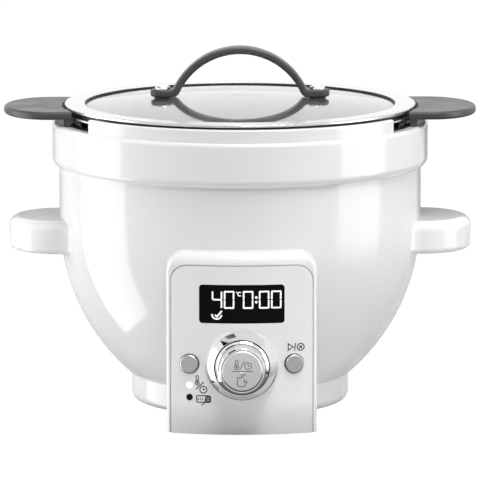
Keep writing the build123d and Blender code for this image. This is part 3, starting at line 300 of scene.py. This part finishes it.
steel = turned_metal("steel", (0.74, 0.74, 0.75), (0.66, 0.66, 0.67), (0.20, 0.30), *BOWL_AXIS, edge=0.0003)
chrome = turned_metal("chrome", (0.83, 0.83, 0.84), (0.80, 0.80, 0.81), (0.04, 0.07), *DIAL_AXIS,
                      strength=0.02)
aluminium = turned_metal("aluminium", (0.76, 0.76, 0.77), (0.68, 0.68, 0.69), (0.26, 0.38), *BOWL_AXIS)
# The side keys take the cap's blasted metal painted darker: painted shade, since they face the light at a
# slant
key_metal_painted_shade = brushed("blasted_key_painted_shade", (0.60, 0.60, 0.61), (0.43, 0.43, 0.44), (0.28, 0.42), BLASTED,
                    edge=0.0004, strength=0.40)
cap_metal = brushed("blasted_cap", (0.82, 0.82, 0.83), (0.63, 0.63, 0.64), (0.30, 0.44), BLASTED,
                    edge=0.0004, strength=0.40)
brass = brushed("brass", (0.72, 0.55, 0.26), (0.60, 0.45, 0.20), (0.25, 0.38), BRASS_LINES)

slot_materials = {
    "white_gloss": white,
    "dark_grip": grip,
    "steel": steel,
    "chrome": chrome,
    "clear_glass": clear_glass("clear_glass"),
    "black_rubber": rubber,
    "fascia_silver": silver_paint("fascia_silver"),
    "display_glass": screen,
    "aluminium": aluminium,
    "black_plastic": black,
    "board_green": board,
    "brass": brass,
    "light_lens": lens,
    "dark_lens": dark_lens,
    "cable_grey": cable,
}
own_materials = {"dial_button": cap_metal, "left_button": key_metal_painted_shade, "right_button": key_metal_painted_shade}
for name, node in nodes.items():
    slot_name = node.data.materials[0].name
    node.data.materials[0] = own_materials.get(name, slot_materials[slot_name])


# Flat signs drawn as strokes in millimetres and laid on a carrying face

def on_circle(centre, radius, degrees):
    """A point on a circle."""
    turn = math.radians(degrees)
    return Vector((centre[0] + radius * math.cos(turn), centre[1] + radius * math.sin(turn)))


def finer(outline):
    """The outline with points added on its long sides, so that it can follow a curved face."""
    points = []
    for i, p in enumerate(outline):
        q = outline[(i + 1) % len(outline)]
        parts = max(1, math.ceil((q - p).length / PRINT_STEP))
        points += [p.lerp(q, j / parts) for j in range(parts)]
    return points


class Sign:
    """A drawing made of flat strokes and patches, each a list of corner points."""

    def __init__(self):
        self.patches = []

    def line(self, points, width, closed=False):
        """A stroke along points, with mitred corners."""
        points = [Vector(p) for p in points]
        count = len(points)
        left, right = [], []
        for i, p in enumerate(points):
            before = points[i - 1] if i or closed else None
            after = points[(i + 1) % count] if i < count - 1 or closed else None
            arrive = (p - before).normalized() if before is not None else (after - p).normalized()
            leave = (after - p).normalized() if after is not None else arrive
            normal = Vector((-arrive.y - leave.y, arrive.x + leave.x)).normalized()
            reach = width / 2 / max(MITRE_LIMIT, normal.dot(Vector((-arrive.y, arrive.x))))
            left.append(p + normal * reach)
            right.append(p - normal * reach)
        for i in range(count if closed else count - 1):
            k = (i + 1) % count
            self.patches.append([left[i], left[k], right[k], right[i]])

    def arc(self, centre, radius, start, end, width, steps):
        """A stroke along part of a circle, angles in degrees."""
        closed = abs(end - start) >= 360
        count = steps if closed else steps + 1
        points = [on_circle(centre, radius, start + (end - start) * i / steps) for i in range(count)]
        self.line(points, width, closed)

    def dot(self, centre, radius, steps):
        """A filled disc."""
        self.patches.append([on_circle(centre, radius, 360 * i / steps) for i in range(steps)])

    def rectangle(self, left, right, low, top):
        """A filled rectangle."""
        self.patches.append([Vector(p) for p in ((left, low), (right, low), (right, top), (left, top))])

    def rounded(self, left, right, low, top, radius, width):
        """The outline of a rounded rectangle."""
        points = []
        for x, y, first in ((right - radius, top - radius, 0), (left + radius, top - radius, 90),
                            (left + radius, low + radius, 180), (right - radius, low + radius, 270)):
            points += [on_circle((x, y), radius, turn) for turn in range(first, first + 91, CORNER_STEP)]
        self.line(points, width, closed=True)

    def make(self, name, onto, material, body):
        """The drawing as thin plates on a face: onto turns a drawing point and a rise into a place."""
        mesh = bmesh.new()
        for patch in self.patches:
            outline = finer(patch)
            lower = [mesh.verts.new(Vector(onto(p, PRINT_RISE - PRINT_T)) * MM) for p in outline]
            upper = [mesh.verts.new(Vector(onto(p, PRINT_RISE)) * MM) for p in outline]
            mesh.faces.new(upper)
            mesh.faces.new(lower[::-1])
            for i in range(len(outline)):
                k = (i + 1) % len(outline)
                mesh.faces.new((upper[i], lower[i], lower[k], upper[k]))
        bmesh.ops.recalc_face_normals(mesh, faces=mesh.faces)
        obj = mesh_object(name, mesh, material)
        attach(obj, body)
        return obj


def on_panel(p, rise):
    """A place on the panel's curved front for a point given as (across, height)."""
    radius = PANEL_R + rise
    return p[0], -math.sqrt(radius**2 - p[0] ** 2), p[1]


def on_cap(p, rise):
    """A place on the push cap's front for a point about the dial's axis."""
    fall = CAP_CONE_H * math.hypot(p[0], p[1]) / CAP_CONE_R
    return p[0], CAP_TIP_Y - rise + fall, KNOB_Z + p[1]


def draw_thermometer(sign, x, low, top, width, stroke):
    """A thermometer: a tube with a round bulb at its foot."""
    bulb = width * 0.85       # radius of the bulb
    tube = width / 2          # half the tube's width
    half_mouth = 32           # degrees from the top of the bulb to where the tube begins
    centre = (x, low + bulb)
    sign.arc(centre, bulb, 90 + half_mouth, 360 + 90 - half_mouth, stroke, steps=22)
    neck = low + bulb + bulb * math.cos(math.radians(half_mouth))
    arch = [on_circle((x, top - tube), tube, turn) for turn in range(0, 181, 20)]
    sign.line([(x + tube, neck)] + arch + [(x - tube, neck)], stroke)
    sign.dot(centre, bulb * 0.42, steps=14)
    sign.line([centre, (x, neck + (top - neck) * 0.35)], stroke)


def draw_clock(sign, centre, radius, stroke):
    """A clock face with two hands."""
    x, y = centre
    sign.arc(centre, radius, 0, 360, stroke, steps=32)
    sign.line([(x, y + radius * 0.55), centre, (x + radius * 0.5, y - 0.1)], stroke)


# Signs on the panel: a thermometer and a clock, a small screen with figures, and a start and stop sign
STROKE = 0.75
SLASH_STROKE = 0.70
TUBE_STROKE = 0.65
THIN_STROKE = 0.60
signs = Sign()
draw_thermometer(signs, -31.5, 37.1, 43.9, 1.6, TUBE_STROKE)
signs.line([(-26.8, 39.5), (-32.3, 34.2)], STROKE)
draw_clock(signs, (-27.2, 33.95), 2.45, STROKE)
signs.rounded(-32.0, -22.1, 24.9, 29.6, 1.0, STROKE)
for column in range(3):
    for row in range(3):
        x, z = -25.9 + 1.3 * column, 25.1 + 1.5 * row
        signs.rectangle(x, x + 1.15, z, z + 1.3)
for step in range(3):
    x = -30.9 + 1.5 * step
    signs.line([(x, 26.2), (x, 28.2)], THIN_STROKE)
signs.line([(-28.6, 22.9), (-27.0, 23.7), (-25.9, 25.6), (-25.9, 27.6)], THIN_STROKE)
signs.line([(32.75, 66.6), (32.75, 61.9), (36.2, 64.2)], STROKE, closed=True)
signs.line([(37.9, 66.9), (37.3, 61.5)], SLASH_STROKE)
signs.arc((41.55, 64.0), 2.45, 0, 360, STROKE, steps=32)
signs.line([(40.5, 65.05), (42.6, 62.95)], STROKE)
signs.line([(40.5, 62.95), (42.6, 65.05)], STROKE)
signs.make("panel_signs", on_panel, ink, "housing")

# Thin pale line just outside the display's edge
LINE_W = 1.0
LINE_R = 2.8
left, right, low, top = DISPLAY
margin = LINE_W / 2
edge_line = Sign()
edge_line.rounded(left - margin, right + margin, low - margin, top + margin, LINE_R, LINE_W)
edge_line.make("display_line", on_panel, pale_ink, "housing")

# Lit digits and marks on the display
SEGMENTS = {"0": "abcdef", "4": "bcfg"}
DIGIT_W = 7.4
DIGIT_LOW = 92.2
DIGIT_TOP = 104.9
BAR = 1.1                 # width of a bar
BAR_GAP = 0.28            # break at each side of the digit's middle


def draw_digit(sign, left, figure):
    """A seven-bar figure with small breaks between its bars."""
    x0, x1 = left + BAR / 2, left + DIGIT_W - BAR / 2
    low, top = DIGIT_LOW + BAR / 2, DIGIT_TOP - BAR / 2
    mid = (low + top) / 2
    bars = {
        "a": ((x0 - BAR / 4, top), (x1 + BAR / 4, top)),
        "b": ((x1, mid + BAR_GAP), (x1, top)),
        "c": ((x1, low), (x1, mid - BAR_GAP)),
        "d": ((x0 - BAR / 4, low), (x1 + BAR / 4, low)),
        "e": ((x0, low), (x0, mid - BAR_GAP)),
        "f": ((x0, mid + BAR_GAP), (x0, top)),
        "g": ((x0 + BAR_GAP, mid), (x1 - BAR_GAP, mid)),
    }
    for key in SEGMENTS[figure]:
        sign.line(bars[key], BAR)


lit = Sign()
for digit_left, figure in ((-21.2, "4"), (-12.7, "0"), (0.7, "0"), (12.0, "0"), (20.55, "0")):
    draw_digit(lit, digit_left, figure)
# Degree sign and letter C, then the two dots of the time, then a tick over a bowl
lit.dot((-3.65, 103.9), radius=0.5, steps=14)
lit.arc((-1.55, 102.65), radius=1.3, start=50, end=310, width=0.7, steps=18)
for height in (100.2, 96.9):
    lit.dot((10.16, height), radius=0.9, steps=16)
lit.line([(-19.1, 87.75), (-17.65, 86.4), (-14.1, 90.6)], width=1.1)
lit.arc((-17.7, 88.2), radius=3.45, start=180, end=352, width=1.0, steps=20)
digits = lit.make("display_digits", on_panel, glow, "housing")
digits.visible_glossy = False      # keeps bright specks off the bezel below

# Signs etched into the push cap: a thermometer and a clock over a pressing hand
CAP_STROKE = 0.52
FINGER_STROKE = 0.46
RAY_STROKE = 0.45
cap_signs = Sign()
draw_thermometer(cap_signs, -3.9, 1.4, 7.9, 1.9, CAP_STROKE)
cap_signs.line([(1.6, 7.4), (-1.4, 1.7)], CAP_STROKE)
draw_clock(cap_signs, (4.1, 3.9), 2.4, CAP_STROKE)
cap_signs.line([(-7.5, 0.05), (7.4, 0.05)], CAP_STROKE)
palm = [(-3.3, -5.2), (-3.4, -9.2), (-2.4, -10.8), (1.4, -10.8),
        (3.3, -7.6), (3.0, -6.9), (1.6, -7.8), (1.3, -5.0)]
cap_signs.line(palm, CAP_STROKE)
for step in range(3):
    knuckle = (-3.0 + 1.45 * step + 0.4, -5.0 + 0.35 * step)
    cap_signs.arc(knuckle, 0.7, 0, 180, FINGER_STROKE, steps=10)
fingertip = (0.8, -3.7)
for turn in (40, 75, 105, 140):
    cap_signs.line([on_circle(fingertip, 1.0, turn), on_circle(fingertip, 2.3, turn)], RAY_STROKE)
cap_signs.make("cap_signs", on_cap, etched, "push_cap")


# Floor, soft boxes, cards, lamps, world and camera

def stage_material(name):
    """A material with an empty tree, for the stage."""
    material = bpy.data.materials.new(name)
    material.use_nodes = True
    material.node_tree.nodes.clear()
    return material


def show(tree, shader):
    """Puts a shader on the surface."""
    add_node(tree, "ShaderNodeOutputMaterial", Surface=shader.outputs[0])


def sheet(name, width, height, location, rotation, material):
    """A flat stage panel that faces along its own +Z."""
    mesh = bmesh.new()
    bmesh.ops.create_grid(mesh, x_segments=2, y_segments=2, size=SHEET_HALF)
    obj = mesh_object(name, mesh, material)
    obj.location = location
    obj.rotation_euler = rotation
    obj.scale = (width, height, 1.0)
    return obj


def upright_sheet(name, width, height, location, azimuth, material):
    """A stage panel that stands upright and faces away from an azimuth, which counts from the front."""
    rotation = (math.radians(90), 0, math.radians(azimuth + 180))
    obj = sheet(name, width, height, location, rotation, material)
    obj.visible_camera = False
    obj.visible_transmission = False
    return obj


def seen(tree):
    """1 for rays from the camera, in mirrors and through glass, and 0 for cast light."""
    path = add_node(tree, "ShaderNodeLightPath")
    total = path.outputs["Is Camera Ray"]
    for name in ("Is Glossy Ray", "Is Transmission Ray"):
        total = calculate(tree, "MAXIMUM", total, path.outputs[name])
    return total


def soft_box(name, width, height, azimuth, distance, middle_z, level, cast, fade_low):
    """A panel at an azimuth from the front, which fades out over a share of its height at the lower edge.

    Mirrors see it at its level, and it casts light as if its level were so many times as high.
    """
    material = stage_material(name)
    tree = material.node_tree
    point = add_node(tree, "ShaderNodeTexCoord").outputs["Object"]
    split = add_node(tree, "ShaderNodeSeparateXYZ", Vector=point)
    fade = add_node(tree, "ShaderNodeMapRange", Value=split.outputs["Y"], From_Min=-SHEET_HALF,
                    From_Max=-SHEET_HALF + fade_low, To_Min=0.0, To_Max=level)
    fade.interpolation_type = "SMOOTHSTEP"
    path = add_node(tree, "ShaderNodeLightPath")
    share = add_node(tree, "ShaderNodeMapRange", Value=path.outputs["Is Glossy Ray"],
                     To_Min=cast, To_Max=1.0)
    strength = calculate(tree, "MULTIPLY", fade.outputs["Result"], share.outputs["Result"])
    show(tree, add_node(tree, "ShaderNodeEmission", Strength=strength))
    turn = math.radians(azimuth)
    spot = Vector((math.sin(turn) * distance, -math.cos(turn) * distance, middle_z))
    upright_sheet(name, width, height, spot, azimuth, material)


def card(name, width, height, location, azimuth, level):
    """A card seen only in mirrors, with a level from black upwards."""
    material = stage_material(name)
    tree = material.node_tree
    show(tree, add_node(tree, "ShaderNodeEmission", Strength=level))
    obj = upright_sheet(name, width, height, location, azimuth, material)
    obj.visible_diffuse = False
    obj.visible_shadow = False


def lamp(name, size, energy, location):
    """A square lamp aimed at the middle of the part."""
    data = bpy.data.lights.new(name, "AREA")
    data.size = size
    data.energy = energy
    obj = add_object(name, data)
    obj.location = location
    aim_at(obj, PART_MIDDLE)
    return obj


def make_floor():
    """A floor that looks almost white, takes a soft shade and doesn't show in mirrors."""
    material = stage_material("floor_paint")
    tree = material.node_tree
    paint = add_node(tree, "ShaderNodeBsdfDiffuse", Color=FLOOR_GREY)
    bright = add_node(tree, "ShaderNodeEmission", Strength=FLOOR_LEVEL)
    blend = add_node(tree, "ShaderNodeMixShader")
    feed(tree, calculate(tree, "MULTIPLY", seen(tree), FLOOR_SHARE), blend.inputs[0])
    feed(tree, paint.outputs[0], blend.inputs[1])
    feed(tree, bright.outputs[0], blend.inputs[2])
    show(tree, blend)
    floor = sheet("floor", FLOOR_SIZE, FLOOR_SIZE, (0, 0, FLOOR_Z), (0, 0, 0), material)
    floor.visible_glossy = False


def make_world():
    """White air that is darker below where it is seen, and casts a dim light."""
    world = bpy.data.worlds.new("studio")
    world.use_nodes = True
    tree = world.node_tree
    point = add_node(tree, "ShaderNodeTexCoord").outputs["Generated"]
    split = add_node(tree, "ShaderNodeSeparateXYZ", Vector=point)
    below = add_node(tree, "ShaderNodeMapRange", Value=split.outputs["Z"], From_Min=AIR_LOW_Z, From_Max=0.0,
                     To_Min=AIR_LOW, To_Max=1.0)
    level = add_node(tree, "ShaderNodeMix", Factor=seen(tree), A=AIR_CAST, B=below.outputs["Result"])
    background = tree.nodes["Background"]
    background.inputs["Color"].default_value = (1, 1, 1, 1)
    feed(tree, level.outputs["Result"], background.inputs["Strength"])
    scene.world = world


def make_camera():
    """A long lens in front of the part and a little above it."""
    data = bpy.data.cameras.new("camera")
    data.sensor_width = SENSOR_W
    data.lens = LENS
    data.clip_start = CLIP_START
    data.clip_end = CLIP_END
    camera = add_object("camera", data)
    camera.location = CAMERA_AT
    aim_at(camera, CAMERA_AIM)
    scene.camera = camera


soft_box("soft_box_left", width=0.74, height=1.35, azimuth=-94, distance=1.0, middle_z=-0.155,
         level=3.4, cast=1.95, fade_low=0.02)
soft_box("soft_box_right", width=0.60, height=1.6, azimuth=77, distance=1.0, middle_z=0.45,
         level=3.4, cast=0.72, fade_low=0.30)
card("card_behind_lid", width=1.8, height=0.50, location=(0, 1.2, 0.55), azimuth=180, level=1.25)
# Grey sheets behind the ears, seen only in mirrors, darken the ears' tops: painted shade, deeper on the
# right
card("painted_shade_left_ear", width=0.16, height=0.10, location=(-0.155, 0.2, 0.145), azimuth=180, level=0.5)
card("painted_shade_right_ear", width=0.16, height=0.10, location=(0.155, 0.2, 0.145), azimuth=180, level=0.32)
# A grey sheet just in front of the display, seen only in mirrors: a painted reflection, so the dial's chrome
# shows grey where it would mirror the dark display
card("painted_reflection_over_display", width=0.042, height=0.036, location=(0.012, -0.1535, 0.095), azimuth=0, level=0.85)
card("card_over_dial", width=0.80, height=1.15, location=(-0.75, 0.29, 1.38), azimuth=-111, level=0.0)
lamp("top_light", size=0.8, energy=19.0, location=(0.30, -0.6, 1.75))
front_light = lamp("front_light", size=0.35, energy=12.0, location=(0.10, -1.5, 1.75))
front_light.visible_glossy = False
make_floor()
make_world()
make_camera()
scene.view_settings.view_transform = "Standard"
